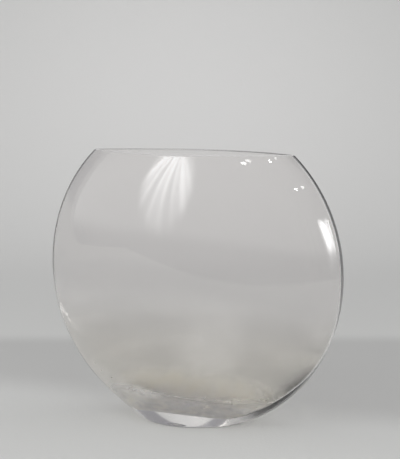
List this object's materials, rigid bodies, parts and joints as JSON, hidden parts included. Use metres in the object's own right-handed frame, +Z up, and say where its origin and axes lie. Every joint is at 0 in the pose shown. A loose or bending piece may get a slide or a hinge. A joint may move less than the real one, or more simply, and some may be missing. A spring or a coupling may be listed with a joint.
{
  "type": "vase",
  "caption": "Flattened round vase of clear glass with a sharp side ridge, a flat oval foot and a wide lens-shaped mouth for a loose bunch of flowers.",
  "frame": {"origin": "middle of the flat oval foot, on the surface that the vase stands on", "axes": "+Z up through the mouth, X along the broad face from ridge to ridge, -Y out of the broad front face"},
  "size_m": [0.25, 0.1, 0.2095],
  "materials": {
    "clear_glass": "polished"
  },
  "bodies": {
    "root": {"vessel": "clear_glass"}
  },
  "joints": []
}
